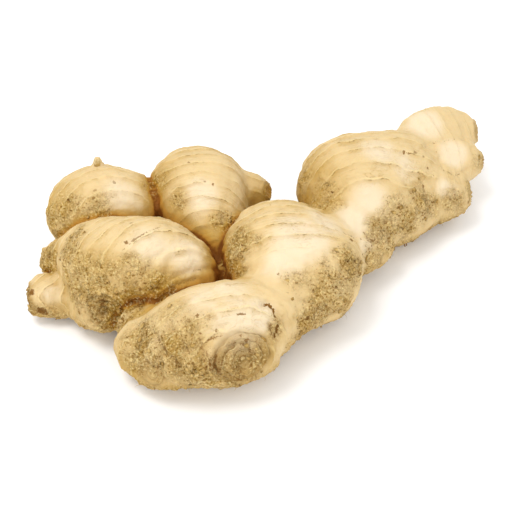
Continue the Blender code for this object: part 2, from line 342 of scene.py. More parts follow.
@dataclass(frozen=True)
class PhotoView:
    """The camera at the photograph's angle. Target and distance are in the part's own metres."""

    target: Place = (-0.00151, -0.00967, 0.01626)
    distance: float = 0.435
    elevation: float = math.radians(43.0)
    lens: float = 80.0
    sensor: float = 36.0
    target_pixel: Pixel = (263.0, 255.0)

    def place(self) -> Vector:
        """Returns: where the camera stands."""
        back = Vector((0, -math.cos(self.elevation), math.sin(self.elevation)))
        return Vector(self.target) + self.distance * back

    def build(self) -> bpy.types.Object:
        """Returns: the camera, set as the scene's own."""
        data = bpy.data.cameras.new("photo_camera")
        data.lens, data.sensor_width = self.lens, self.sensor
        data.clip_start, data.clip_end = 0.01, 20.0
        data.shift_x = (IMAGE_SIDE / 2 - self.target_pixel[0]) / IMAGE_SIDE
        data.shift_y = (self.target_pixel[1] - IMAGE_SIDE / 2) / IMAGE_SIDE
        camera = bpy.data.objects.new("photo_camera", data)
        camera.location = self.place()
        camera.rotation_euler = (math.pi / 2 - self.elevation, 0, 0)
        bpy.context.scene.collection.objects.link(camera)
        bpy.context.scene.camera = camera
        return camera

    def ray(self, pixel: Pixel) -> Vector:
        """Returns: the way that the camera looks through a pixel of the photograph."""
        wide = self.sensor / self.lens / IMAGE_SIDE
        across = (pixel[0] - self.target_pixel[0]) * wide
        up = (self.target_pixel[1] - pixel[1]) * wide
        turn = Matrix.Rotation(math.pi / 2 - self.elevation, 3, "X")
        return (turn @ Vector((across, up, -1))).normalized()


@dataclass(frozen=True)
class Studio:
    """A pale table under soft light. Lights are area lights: place, size and strength."""

    floor_side: float = 6.0
    floor_colour: Colour = (0.95, 0.95, 0.95, 1.0)
    sky: float = 1.04
    lights: tuple[tuple[str, Place, float, float], ...] = (
        ("key", (-0.3, -0.05, 0.8), 0.35, 2.7),
        ("fill", (0.15, -0.8, 0.45), 0.6, 1.5),
    )

    def build(self) -> None:
        """Builds the table, the lights and the sky."""
        shape = bmesh.new()
        bmesh.ops.create_grid(shape, x_segments=1, y_segments=1, size=self.floor_side / 2)
        mesh = bpy.data.meshes.new("table_top")
        shape.to_mesh(mesh)
        shape.free()
        for vertex in mesh.vertices:
            vertex.co.z = -0.0001
        floor = bpy.data.objects.new("table_top", mesh)
        bpy.context.scene.collection.objects.link(floor)
        material = bpy.data.materials.new("table_white")
        material.use_nodes = True
        shader = material.node_tree.nodes["Principled BSDF"]
        shader.inputs["Base Color"].default_value = self.floor_colour
        shader.inputs["Roughness"].default_value = 0.9
        shader.inputs["Specular IOR Level"].default_value = 0.1
        mesh.materials.append(material)
        for name, place, size, strength in self.lights:
            self.light(name, place, size, strength)
        world = bpy.data.worlds.new("studio")
        world.use_nodes = True
        sky = world.node_tree.nodes["Background"]
        sky.inputs["Color"].default_value = (1, 1, 1, 1)
        sky.inputs["Strength"].default_value = self.sky
        bpy.context.scene.world = world
        bpy.context.scene.view_settings.view_transform = "Standard"

    @staticmethod
    def light(name: str, place: Place, size: float, strength: float) -> None:
        """Hangs one square soft light that faces the root.

        Args:
            name: the light's name.
            place: where it hangs, in metres.
            size: its side in metres.
            strength: its power in watts.
        """
        data = bpy.data.lights.new(name, "AREA")
        data.size, data.energy = size, strength
        lamp = bpy.data.objects.new(name, data)
        lamp.location = place
        lamp.rotation_euler = (-Vector(place)).to_track_quat("-Z", "Y").to_euler()
        bpy.context.scene.collection.objects.link(lamp)


class Zone(Enum):
    """A property of the skin that varies from place to place."""

    ROUGH = "rough"
    # pale skin, which also carries painted highlights
    PALE_AND_HIGHLIGHT = "pale"
    BROWN = "brown"
    GOLD = "gold"


@dataclass(frozen=True)
class Patch:
    """A soft-edged patch of one property, by its middle's pixel, its radius in mm and its strength."""

    pixel: Pixel
    radius: float
    strength: float = 1.0


@dataclass(frozen=True)
class Crease:
    """A line pressed into the skin: pixels that it runs through, its half width, depth and darkness."""

    pixels: tuple[Pixel, ...]
    width: float = 0.7
    depth: float = 0.5
    dark: float = 0.6


# each row: the pixel across and down, the radius in millimetres and, where it is not 1, the strength
PATCH_ROWS: dict[Zone, tuple[tuple[float, ...], ...]] = {
    Zone.ROUGH: (
        (330, 295, 13), (310, 322, 10), (352, 268, 9), (372, 262, 7), (140, 345, 11), (165, 360, 12),
        (185, 330, 9, 0.7), (200, 378, 10), (170, 312, 8, 0.6), (240, 382, 10, 0.7), (85, 285, 13),
        (115, 305, 12), (70, 255, 9), (125, 275, 9, 0.8), (160, 288, 8, 0.9), (75, 236, 7, 0.8),
        (110, 322, 9), (70, 205, 9, 0.6), (95, 208, 8, 0.6), (240, 245, 9, 0.9), (230, 222, 7, 0.7),
        (238, 268, 7, 0.7), (178, 200, 6, 0.6), (225, 222, 6, 0.6), (405, 220, 11), (425, 205, 9, 0.9),
        (385, 235, 9), (455, 205, 8, 0.8), (480, 158, 5, 0.5), (470, 190, 6, 0.6), (55, 305, 5, 0.4),
        (275, 330, 6, 0.6), (295, 285, 7, 0.5), (48, 262, 7, 0.8), (58, 222, 10, 0.7),
        (322, 195, 9, 0.6), (305, 180, 8, 0.5), (452, 178, 5, 0.6), (160, 180, 7, 0.5),
    ),
    # pale skin together with painted highlights on the lobe tops and the finger domes
    Zone.PALE_AND_HIGHLIGHT: (
        (240, 330, 12), (262, 318, 9), (300, 240, 13), (285, 262, 10, 0.8), (325, 222, 9, 0.8),
        (355, 218, 9), (200, 195, 8), (120, 195, 9, 0.8), (150, 250, 11, 0.8), (185, 255, 9, 0.8),
        (200, 300, 10, 0.7), (380, 150, 9, 0.8), (370, 200, 9, 0.9), (425, 122, 9), (453, 153, 7),
        (447, 190, 6), (367, 248, 5), (405, 165, 8, 0.7), (230, 290, 9, 0.7), (52, 296, 5, 0.9),
    ),
    Zone.GOLD: (
        (90, 268, 9), (120, 290, 9, 0.8), (185, 350, 9, 0.7), (262, 352, 7, 0.9), (225, 345, 7, 0.5),
        (46, 266, 5, 0.8), (65, 212, 7, 0.7), (165, 165, 8, 0.6), (215, 235, 8, 0.8), (310, 180, 9, 0.8),
        (300, 195, 7, 0.8), (235, 240, 9, 0.6), (180, 200, 6, 0.6), (160, 285, 9, 0.7),
        (165, 375, 10, 0.6), (48, 258, 8, 0.9), (58, 205, 14, 0.8), (160, 180, 9, 0.9),
        (318, 185, 13, 1.0), (310, 165, 9, 0.6), (70, 300, 9, 0.8), (130, 365, 9, 0.7),
        (255, 190, 8, 0.5),
    ),
    Zone.BROWN: (
        (213, 364, 6.0, 0.5), (205, 352, 4.0, 0.4), (235, 376, 5.0, 0.45), (248, 352, 4.0, 0.35),
        (103, 302, 2.2, 0.7), (43, 311, 2.6, 0.9), (31, 292, 1.9, 0.8), (138, 305, 3.0, 0.5),
        (312, 170, 3.0, 0.3), (218, 262, 3.0, 0.5),
    ),
}

PATCHES: dict[Zone, tuple[Patch, ...]] = {
    zone: tuple(Patch(row[:2], *row[2:]) for row in rows) for zone, rows in PATCH_ROWS.items()
}

CREASES: tuple[Crease, ...] = (
    Crease(((261, 307), (268, 303), (274, 309), (278, 320), (279, 333), (276, 344)), 0.6, 1.0, 1.0),
    Crease(((256, 313), (263, 309), (270, 313)), 0.45, 0.5, 0.8),
    Crease(((270, 322), (273, 334), (269, 345)), 0.4, 0.5, 0.6),
    Crease(((142, 302), (158, 287), (178, 275), (200, 270), (222, 268)), 0.38, 0.6, 0.6),
    Crease(((148, 310), (163, 296), (180, 284), (196, 279)), 0.33, 0.5, 0.5),
    Crease(((204, 344), (212, 338), (222, 336)), 0.4, 0.6, 0.8),
    Crease(((238, 314), (245, 313)), 0.45, 0.5, 0.8),
    Crease(((345, 232), (360, 238), (378, 244), (396, 246)), 0.35, 0.7, 0.6),
    Crease(((145, 270), (155, 259), (166, 249), (177, 243), (190, 238)), 0.3, 0.4, 0.7),
    Crease(((123, 250), (133, 240), (146, 232), (160, 227)), 0.3, 0.4, 0.65),
    Crease(((152, 332), (160, 345), (172, 360), (182, 374)), 0.5, 1.6, 0.6),
    Crease(((170, 326), (182, 342), (190, 358), (196, 374)), 0.45, 1.5, 0.55),
    Crease(((188, 322), (198, 334), (203, 350), (206, 366)), 0.4, 1.2, 0.5),
    Crease(((135, 345), (143, 356), (156, 368), (164, 380)), 0.45, 1.4, 0.55),
    Crease(((226, 345), (238, 343), (250, 348), (254, 358), (250, 370)), 0.4, 0.5, 0.7),
    Crease(((218, 352), (214, 362), (220, 374), (232, 381), (246, 381)), 0.5, 0.7, 0.8),
    Crease(((232, 352), (242, 353), (246, 361), (240, 369), (230, 367)), 0.35, 0.4, 0.8),
    Crease(((403, 152), (414, 154), (432, 143), (445, 140), (466, 140)), 0.35, 0.6, 0.8),
    Crease(((441, 156), (445, 169), (456, 175), (468, 169)), 0.33, 0.6, 0.8),
    Crease(((420, 173), (425, 186), (424, 198), (432, 208)), 0.33, 0.6, 0.75),
    Crease(((364, 232), (371, 240), (382, 243)), 0.35, 0.5, 0.7),
)

SPECKS: tuple[Pixel, ...] = (
    (197, 315), (199, 334), (216, 330), (240, 335), (246, 340), (222, 222), (232, 218), (189, 162),
    (205, 181), (213, 184), (114, 182), (95, 190), (93, 198), (67, 200), (110, 212), (126, 242),
    (131, 223), (140, 289), (145, 283), (405, 152), (416, 152), (424, 156), (437, 153), (428, 168),
    (433, 176), (406, 184), (412, 194), (398, 207), (386, 222), (345, 233), (352, 240), (372, 246),
    (278, 274), (288, 292), (296, 306), (313, 291), (306, 318), (322, 310),
    (337, 288), (346, 279), (355, 262), (364, 254), (101, 268), (108, 283), (80, 262), (88, 297),
)


class Sheet:
    """Short ways to lay out the nodes of one material or group."""

    def __init__(self, tree: bpy.types.NodeTree) -> None:
        """Args: tree: the node tree that the nodes go into."""
        self.tree = tree

    def feed(self, socket: bpy.types.NodeSocket, value: object) -> None:
        """Links a socket to another, or sets its own value."""
        if isinstance(value, bpy.types.NodeSocket):
            self.tree.links.new(value, socket)
        else:
            socket.default_value = value

    def node(
        self, kind: str, inputs: dict[str | int, object] | None = None, **settings: object
    ) -> bpy.types.Node:
        """Adds a node.

        Args:
            kind: Blender's name of the node type, without its ShaderNode start.
            inputs: what each input gets, by name or number.
            settings: the node's own options.

        Returns:
            The node.
        """
        made = self.tree.nodes.new("ShaderNode" + kind)
        for name, value in settings.items():
            setattr(made, name, value)
        for name, value in (inputs or {}).items():
            self.feed(made.inputs[name], value)
        return made

    def attribute(self, name: str) -> bpy.types.NodeSocket:
        """Returns: a number kept at the skin's vertices."""
        return self.node("Attribute", attribute_name=name).outputs["Fac"]

    def math(
        self, operation: str, first: object, second: object = 0.0, clamp: bool = False
    ) -> bpy.types.NodeSocket:
        """Returns: the result of one sum."""
        made = self.node("Math", {0: first, 1: second}, operation=operation, use_clamp=clamp)
        return made.outputs[0]

    def blend(self, share: object, first: object, second: object) -> bpy.types.NodeSocket:
        """Returns: two colours blended by a share."""
        made = self.node("Mix", data_type="RGBA", blend_type="MIX")
        for number, value in ((0, share), (6, first), (7, second)):
            self.feed(made.inputs[number], value)
        return made.outputs[2]

    def span(
        self, value: object, low: float, high: float, to_low: float = 0.0, to_high: float = 1.0
    ) -> bpy.types.NodeSocket:
        """Returns: a value softly stretched from one range to another."""
        inputs = {"Value": value, "From Min": low, "From Max": high, "To Min": to_low, "To Max": to_high}
        return self.node("MapRange", inputs, interpolation_type="SMOOTHSTEP").outputs[0]

    def noise(
        self, where: object, scale: float, detail: float = 3.0, roughness: float = 0.55
    ) -> bpy.types.NodeSocket:
        """Returns: smooth noise from 0 to 1."""
        inputs = {"Vector": where, "Scale": scale, "Detail": detail, "Roughness": roughness}
        return self.node("TexNoise", inputs).outputs["Fac"]


def group_of(name: str, inputs: dict[str, tuple[str, object]], outputs: dict[str, str]) -> bpy.types.NodeTree:
    """Starts a shader node group.

    Args:
        name: the group's name.
        inputs: socket type and default value by name.
        outputs: socket type by name.

    Returns:
        The group, with its Group Input and Group Output nodes.
    """
    tree = bpy.data.node_groups.new(name, "ShaderNodeTree")
    for title, (kind, value) in inputs.items():
        socket = tree.interface.new_socket(title, in_out="INPUT", socket_type=kind)
        if value is not None:
            socket.default_value = value
    for title, kind in outputs.items():
        tree.interface.new_socket(title, in_out="OUTPUT", socket_type=kind)
    tree.nodes.new("NodeGroupInput")
    tree.nodes.new("NodeGroupOutput")
    return tree


def speckle_group() -> bpy.types.NodeTree:
    """Dry specks and grain, as any surface of the root has.

    Returns:
        A group that takes a place, a scale and how much of the surface is dry. It puts out a mask of
        dark specks, a mask of pale flecks and a height in millimetres.
    """
    tree = group_of(
        "dry_speckle",
        {
            "Vector": ("NodeSocketVector", None),
            "Scale": ("NodeSocketFloat", 1.0),
            "Dryness": ("NodeSocketFloat", 0.5),
        },
        {"Specks": "NodeSocketFloat", "Flecks": "NodeSocketFloat", "Height": "NodeSocketFloat"},
    )
    sheet = Sheet(tree)
    given, put = tree.nodes["Group Input"].outputs, tree.nodes["Group Output"].inputs
    where = sheet.node("VectorMath", {0: given["Vector"], 3: given["Scale"]}, operation="SCALE").outputs[0]
    drift = sheet.node("TexNoise", {"Vector": where, "Scale": 350.0, "Detail": 2.0}).outputs["Color"]
    drift = sheet.node("VectorMath", {0: drift, 1: (0.5, 0.5, 0.5)}, operation="SUBTRACT").outputs[0]
    drift = sheet.node("VectorMath", {0: drift, 3: 0.0022}, operation="SCALE").outputs[0]
    bent = sheet.node("VectorMath", {0: where, 1: drift}, operation="ADD").outputs[0]
    nets = []
    for scale, width in ((330.0, 0.09), (720.0, 0.13)):
        cells = sheet.node("TexVoronoi", {"Vector": bent, "Scale": scale}, feature="DISTANCE_TO_EDGE")
        nets.append(sheet.span(cells.outputs["Distance"], width, 0.0))
    net = sheet.math("MAXIMUM", sheet.math("MULTIPLY", nets[0], 0.9), sheet.math("MULTIPLY", nets[1], 0.6))
    net = sheet.math("MULTIPLY", net, sheet.span(sheet.noise(where, 210.0, 2.0, 0.5), 0.42, 0.6))
    grain = sheet.noise(where, 1150.0, 3.0, 0.6)
    coarse = sheet.noise(where, 420.0, 2.0, 0.5)
    blotch = sheet.noise(where, 90.0, 2.0, 0.5)
    dryness = sheet.math("ADD", given["Dryness"], sheet.span(blotch, 0.35, 0.65, -0.12, 0.12))
    mixed = sheet.math("ADD", sheet.math("MULTIPLY", grain, 0.82), sheet.math("MULTIPLY", coarse, 0.18))
    edge = sheet.math("ADD", 0.37, sheet.math("MULTIPLY", dryness, 0.085))
    specks = sheet.span(sheet.math("SUBTRACT", edge, mixed), -0.01, 0.05)
    specks = sheet.math("MULTIPLY", specks, sheet.span(dryness, 0.05, 0.6), clamp=True)
    flecks = sheet.span(mixed, 0.53, 0.62)
    flecks = sheet.math("MULTIPLY", flecks, sheet.span(dryness, 0.15, 0.7), clamp=True)
    net = sheet.math("MULTIPLY", net, sheet.span(dryness, 0.1, 0.6), clamp=True)
    swing = sheet.math("SUBTRACT", sheet.math("SUBTRACT", mixed, 0.5), sheet.math("MULTIPLY", net, 0.22))
    swing = sheet.math("MULTIPLY", swing, sheet.span(dryness, 0.0, 0.9, 0.12, 1.0))
    specks = sheet.math("MAXIMUM", specks, sheet.math("MULTIPLY", net, 0.55))
    sheet.feed(put["Specks"], specks)
    sheet.feed(put["Flecks"], flecks)
    sheet.feed(put["Height"], swing)
    return tree


@dataclass(frozen=True)
class SkinFinish:
    """The thin skin: creamy where it is smooth, tan and speckled where it is dry, with painted warm shade in
    the clefts and painted highlights on the pale tops and the ring lips.
    """

    cream: Colour = (0.68, 0.51, 0.265, 1)
    # pale: pale skin colour, also used for painted highlights on lobe tops and finger domes
    pale: Colour = (0.75, 0.62, 0.425, 1)
    tan: Colour = (0.49, 0.305, 0.085, 1)
    # gold: the skin's golden tone, also the first step of the painted shade in clefts and under the ring lips
    gold: Colour = (0.45, 0.265, 0.042, 1)
    # cleft and dark: painted shade with warm bounce light, deepening into the clefts
    cleft: Colour = (0.52, 0.25, 0.032, 1)
    dark: Colour = (0.22, 0.07, 0.009, 1)
    # brown: stains, creases and specks, and also painted shade under the eye ridges
    brown: Colour = (0.20, 0.09, 0.016, 1)
    speck: Colour = (0.21, 0.10, 0.008, 1)
    # fleck: pale dry flecks, also painted highlights on the ring and eye-ridge lips
    fleck_and_highlight: Colour = (0.84, 0.66, 0.31, 1)
    aged: Colour = (0.36, 0.215, 0.06, 1)
    roughness: float = 0.58
    specular: float = 0.1
    glow: float = 0.1
    glow_reach: Place = (1.0, 0.55, 0.25)
    glow_scale: float = 0.002
    speckle_height: float = 1.3
    fine_height: float = 0.05

    def build(self, speckle: bpy.types.NodeTree) -> bpy.types.Material:
        """Returns: the skin's material, which reads the skin's own numbers and object places."""
        material = bpy.data.materials.new("ginger_skin")
        material.use_nodes = True
        sheet = Sheet(material.node_tree)
        shader = material.node_tree.nodes["Principled BSDF"]
        where = sheet.node("TexCoord").outputs["Object"]
        rough, pale = sheet.attribute("rough"), sheet.attribute("pale")
        gold, brown = sheet.attribute("gold"), sheet.attribute("brown")
        cleft = sheet.attribute("cleft")
        dry = sheet.node("Group", node_tree=speckle)
        sheet.feed(dry.inputs["Vector"], where)
        sheet.feed(dry.inputs["Dryness"], rough)
        mottle = sheet.noise(where, 120.0, 4.0, 0.6)
        cloud = sheet.noise(where, 45.0, 3.0, 0.5)
        lip_highlight, lip_shade, thread, bands, lines = self.ring_lines(sheet, where, "ring")
        round_lip_highlight, round_shade_and_stain, round_thread, _, round_lines = self.ring_lines(sheet, where, "eye")

        # cream, paler where pale skin and painted highlights lie on the tops and domes
        colour = sheet.blend(sheet.span(pale, 0.1, 0.95), self.cream, self.pale)
        tanned = sheet.math("MULTIPLY", rough, sheet.span(mottle, 0.3, 0.7, 0.35, 0.95))
        colour = sheet.blend(tanned, colour, self.tan)
        golden = sheet.math("MULTIPLY", gold, sheet.span(cloud, 0.3, 0.7, 0.35, 0.85))
        colour = sheet.blend(golden, colour, self.gold)
        aged = sheet.math("MULTIPLY", sheet.attribute("eye_amount"), sheet.span(cloud, 0.3, 0.65, 0.3, 0.9))
        colour = sheet.blend(aged, colour, self.aged)
        colour = sheet.blend(sheet.math("MULTIPLY", bands, 0.3), colour, self.tan)
        # Painted highlights on the ring and eye-ridge lips, painted shade under the ring lips, and under the
        # eye ridges brown scar lines that also paint shade
        colour = sheet.blend(sheet.math("MULTIPLY", lip_highlight, 0.55), colour, self.fleck_and_highlight)
        colour = sheet.blend(sheet.math("MULTIPLY", lip_shade, 0.42), colour, self.gold)
        colour = sheet.blend(sheet.math("MULTIPLY", round_lip_highlight, 0.4), colour, self.fleck_and_highlight)
        colour = sheet.blend(sheet.math("MULTIPLY", round_shade_and_stain, 0.6), colour, self.brown)
        colour = sheet.blend(sheet.math("MULTIPLY", thread, 0.75), colour, self.speck)
        colour = sheet.blend(sheet.math("MULTIPLY", round_thread, 0.8), colour, self.speck)
        # Painted shade: where the root hides the sky and along the seams between lobes, the colour runs
        # through gold and warm brown to near black
        cleft = sheet.math("ADD", cleft, sheet.math("MULTIPLY", sheet.math("SUBTRACT", mottle, 0.5), 0.12))
        colour = sheet.blend(sheet.span(cleft, 0.1, 0.4, 0.0, 0.75), colour, self.gold)
        colour = sheet.blend(sheet.span(cleft, 0.28, 0.62, 0.0, 0.85), colour, self.cleft)
        colour = sheet.blend(sheet.span(cleft, 0.5, 0.8, 0.0, 0.95), colour, self.dark)
        colour = sheet.blend(sheet.math("MULTIPLY", dry.outputs["Flecks"], 0.7), colour, self.fleck_and_highlight)
        colour = sheet.blend(sheet.math("MULTIPLY", dry.outputs["Specks"], 0.8), colour, self.speck)
        colour = sheet.blend(self.ragged(sheet, where, brown), colour, self.brown)
        colour = sheet.blend(self.marks(sheet, where), colour, self.brown)
        sheet.feed(shader.inputs["Base Color"], colour)

        shine = sheet.math("ADD", self.roughness, sheet.math("MULTIPLY", rough, 0.18))
        shine = sheet.math("SUBTRACT", shine, sheet.math("MULTIPLY", pale, 0.08))
        sheet.feed(shader.inputs["Roughness"], shine)
        fine = sheet.math("MULTIPLY", sheet.noise(where, 900.0, 3.0, 0.6), self.fine_height)
        height = sheet.math("ADD", sheet.math("MULTIPLY", dry.outputs["Height"], self.speckle_height), fine)
        height = sheet.math("ADD", height, sheet.math("ADD", lines, sheet.math("MULTIPLY", round_lines, 1.4)))
        bump = sheet.node("Bump", {"Strength": 1.0, "Distance": MM, "Height": height})
        sheet.feed(shader.inputs["Normal"], bump.outputs["Normal"])
        shader.inputs["Specular IOR Level"].default_value = self.specular
        shader.inputs["Subsurface Weight"].default_value = self.glow
        shader.inputs["Subsurface Radius"].default_value = self.glow_reach
        shader.inputs["Subsurface Scale"].default_value = self.glow_scale
        return material

    @staticmethod
    def ragged(sheet: Sheet, where: object, mask: object) -> bpy.types.NodeSocket:
        """Returns: a soft mask torn into fine flecks, thickest where the mask is strongest."""
        grain = sheet.math("SUBTRACT", sheet.noise(where, 900.0, 3.0, 0.65), 0.5)
        torn = sheet.math("ADD", mask, sheet.math("MULTIPLY", grain, 1.5))
        return sheet.math("MULTIPLY", sheet.span(torn, 0.3, 0.75), sheet.span(mask, 0.02, 0.35), clamp=True)

    @staticmethod
    def marks(sheet: Sheet, where: object) -> bpy.types.NodeSocket:
        """Returns: the mask of the creases and specks, ragged along their edges."""
        shake = sheet.math("MULTIPLY", sheet.math("SUBTRACT", sheet.noise(where, 850.0, 3.0, 0.6), 0.5), 1.8)
        edge = sheet.math("ADD", sheet.attribute("mark_gap"), shake)
        return sheet.math("MULTIPLY", sheet.span(edge, 0.12, -0.12), sheet.attribute("mark_dark"), clamp=True)

    @staticmethod
    def ring_lines(sheet: Sheet, where: object, kind: str) -> tuple[object, ...]:
        """Fine lines that follow the rings, from the ring number kept at the skin's vertices.

        Args:
            sheet: the material's nodes.
            where: object places.
            kind: the name of the numbers, ring or eye.

        Returns:
            The masks of painted highlights along the lips, of painted shade under them, of thin dark threads
            and of soft bands, and a height in millimetres.
        """
        number, amount = sheet.attribute(kind), sheet.attribute(kind + "_amount")
        wobble = sheet.math("MULTIPLY", sheet.math("SUBTRACT", sheet.noise(where, 300.0, 3.0), 0.5), 0.25)
        number = sheet.math("ADD", number, wobble)
        turn = sheet.math("FRACT", number)
        drift = sheet.math("MULTIPLY", sheet.noise(where, 80.0, 2.0), 4.0)
        lengthwise = sheet.node("CombineXYZ", {0: number, 1: drift}).outputs[0]
        streak = sheet.noise(lengthwise, 6.5, 4.0, 0.65)
        broken = sheet.span(sheet.noise(where, 150.0, 2.0), 0.38, 0.58)
        steady = sheet.math("MULTIPLY", amount, sheet.math("ADD", 0.35, sheet.math("MULTIPLY", broken, 0.65)))
        # lip: a painted highlight along each ring's lip; shade_under_lip: painted shade just below it
        lip = sheet.span(sheet.math("ABSOLUTE", sheet.math("SUBTRACT", turn, 0.62)), 0.09, 0.02)
        shade_under_lip = sheet.math("MULTIPLY", sheet.span(turn, 0.66, 0.71), sheet.span(turn, 1.0, 0.72))
        thin = sheet.span(sheet.math("ABSOLUTE", sheet.math("SUBTRACT", turn, 0.69)), 0.05, 0.01)
        dots = sheet.span(sheet.noise(where, 620.0, 2.0), 0.46, 0.6)
        thread = sheet.math("MULTIPLY", thin, sheet.math("MULTIPLY", dots, broken))
        thread = sheet.math("MAXIMUM", thread, sheet.math("MULTIPLY", sheet.span(streak, 0.42, 0.3), 0.6))
        lines = sheet.math("MULTIPLY", sheet.math("SUBTRACT", lip, shade_under_lip), 0.14)
        lines = sheet.math("ADD", lines, sheet.math("MULTIPLY", sheet.math("SUBTRACT", streak, 0.5), 0.5))
        return (
            sheet.math("MULTIPLY", lip, steady, clamp=True),
            sheet.math("MULTIPLY", shade_under_lip, steady, clamp=True),
            sheet.math("MULTIPLY", thread, steady, clamp=True),
            sheet.math("MULTIPLY", sheet.span(streak, 0.62, 0.38), steady, clamp=True),
            sheet.math("MULTIPLY", lines, steady),
        )


def finished(name: str, shape: bmesh.types.BMesh, material: bpy.types.Material) -> bpy.types.Object:
    """Makes a piece from a shape in metres.

    Args:
        name: the piece's name.
        shape: its form, freed here.
        material: its finish.

    Returns:
        The piece, riding on the root, with the given finish.
    """
    mesh = bpy.data.meshes.new(name)
    shape.to_mesh(mesh)
    shape.free()
    mesh.materials.append(material)
    mesh.shade_smooth()
    piece = bpy.data.objects.new(name, mesh)
    bpy.context.scene.collection.objects.link(piece)
    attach(piece, BODY)
    log.info("%s: %d faces", name, len(mesh.polygons))
    return piece


@dataclass
class GingerSkin:
    """The root's skin. Sizes are in millimetres."""

    form: RootForm
    view: PhotoView
    grain: float = 0.78
    evenings: int = 3
    lip: float = 0.6
    ring_depth: float = 0.75
    eye_line_gap: float = 2.6
    mark_reach: float = 4.0
    scale_size: float = 2.3
    scale_height: float = 0.55
    wrinkle: float = 0.48
    fold: float = 0.45
    fold_gap: float = 6.0
    fold_length: float = 11.0
    wrinkle_gap: float = 2.6
    wrinkle_length: float = 15.0
    seam_depth: float = 0.9
    lump: float = 0.3
    lump_size: float = 5.0
    pucker: float = 0.26
    pucker_size: float = 2.4
    ripple: float = 0.12
    ripples: int = 3
    ray_reach: float = 26.0
    ray_start: float = 1.9

    def build(self, material: bpy.types.Material) -> bpy.types.Object:
        """Returns: the skin, which stands for the solid root."""
        self.solid = self.merged_solid()
        self.tree = BVHTree.FromBMesh(self.solid)
        shape = self.remeshed()
        self.points = self.form.settled(self.shape_points(shape), 5)
        self.place(shape, self.points)
        for _ in range(self.evenings):
            bmesh.ops.smooth_vert(
                shape, verts=shape.verts[:], factor=0.5, use_axis_x=True, use_axis_y=True, use_axis_z=True
            )
        self.points = self.form.settled(self.shape_points(shape), 3)
        _, self.way, self.distances = self.form.field(self.points)
        self.read_zones()
        raised = self.points + self.relief()[:, None] * self.way
        raised[:, 2] = np.maximum(raised[:, 2], TABLE)
        self.raised = raised
        self.place(shape, self.form.to_metres(raised))
        bmesh.ops.recalc_face_normals(shape, faces=shape.faces[:])
        skin = finished("ginger_skin", shape, material)
        for name, values in self.numbers.items():
            kept = skin.data.attributes.new(name, "FLOAT", "POINT")
            kept.data.foreach_set("value", values.astype(np.float32))
        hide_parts(NODE)
        return skin

    def merged_solid(self) -> bmesh.types.BMesh:
        """Returns: the solid root's shape with its loose triangles joined, in lobe millimetres."""
        shape = bmesh.new()
        shape.from_mesh(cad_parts[NODE].data)
        bmesh.ops.remove_doubles(shape, verts=shape.verts[:], dist=1e-7)
        self.place(shape, self.form.to_lobes(self.shape_points(shape)))
        return shape

    @staticmethod
    def shape_points(shape: bmesh.types.BMesh) -> np.ndarray:
        """Returns: the places of a shape's vertices."""
        return np.array([vert.co for vert in shape.verts])

    @staticmethod
    def place(shape: bmesh.types.BMesh, points: np.ndarray) -> None:
        """Moves a shape's vertices to these places."""
        for vert, point in zip(shape.verts, points):
            vert.co = point

    def remeshed(self) -> bmesh.types.BMesh:
        """Returns: an even, fine skin over the solid root."""
        mesh = bpy.data.meshes.new("solid")
        self.solid.to_mesh(mesh)
        holder = bpy.data.objects.new("solid", mesh)
        bpy.context.scene.collection.objects.link(holder)
        modifier = holder.modifiers.new("grain", "REMESH")
        modifier.mode, modifier.voxel_size = "VOXEL", self.grain
        graph = bpy.context.evaluated_depsgraph_get()
        fine = bpy.data.meshes.new_from_object(holder.evaluated_get(graph))
        shape = bmesh.new()
        shape.from_mesh(fine)
        bpy.data.objects.remove(holder)
        bpy.data.meshes.remove(mesh)
        bpy.data.meshes.remove(fine)
        return shape

    def landed(self, pixel: Pixel) -> np.ndarray | None:
        """Returns: where the line of sight through a pixel meets the root, or None."""
        start = self.form.to_lobes(np.array(self.view.place()))
        hit = self.tree.ray_cast(Vector(start), self.view.ray(pixel))[0]
        return None if hit is None else np.array(hit)

    def patch_mask(self, patches: tuple[Patch, ...]) -> np.ndarray:
        """Returns: how strongly each vertex lies in the patches."""
        mask = np.zeros(len(self.points))
        for patch in patches:
            middle = self.landed(patch.pixel)
            if middle is None:
                log.warning("a patch misses the root at %s", patch.pixel)
                continue
            share = np.linalg.norm(self.points - middle, axis=1) / patch.radius
            mask = np.maximum(mask, patch.strength * (1 - smooth_step(share, 0.2, 1.5)))
        return mask

    def read_zones(self) -> None:
        """Works out the numbers that the relief and the material read at every vertex."""
        points, count = self.points, len(self.points)
        ragged = noise_at(points, 7.0, seed=4)
        names = list(self.distances)
        stack = np.array([self.distances[name] for name in names])
        order = np.sort(stack, axis=0)
        self.nearest = order[0]
        owner = stack.argmin(0)
        seam = 1 - smooth_step(order[1] - order[0], 0.6, 4.5)
        second = stack.argsort(0)[1]
        parted = [place for place, name in enumerate(names) if name in PARTED]
        apart = np.isin(owner, parted) | np.isin(second, parted)
        self.seam = apart * (1 - smooth_step(order[1] - order[0], 0.2, 2.4))
        low = 1 - smooth_step(points[:, 2] + 5 * ragged, 2.0, 15.0)
        behind = smooth_step(self.way[:, 1] + 0.3 * ragged, 0.55, 1.0) * 0.6
        rough = self.patch_mask(PATCHES[Zone.ROUGH])
        frayed = 0.35 * ragged * (rough > 0.05)
        rough = np.clip(np.maximum(rough, np.maximum(low * 0.85, behind)) + frayed, 0, 1)
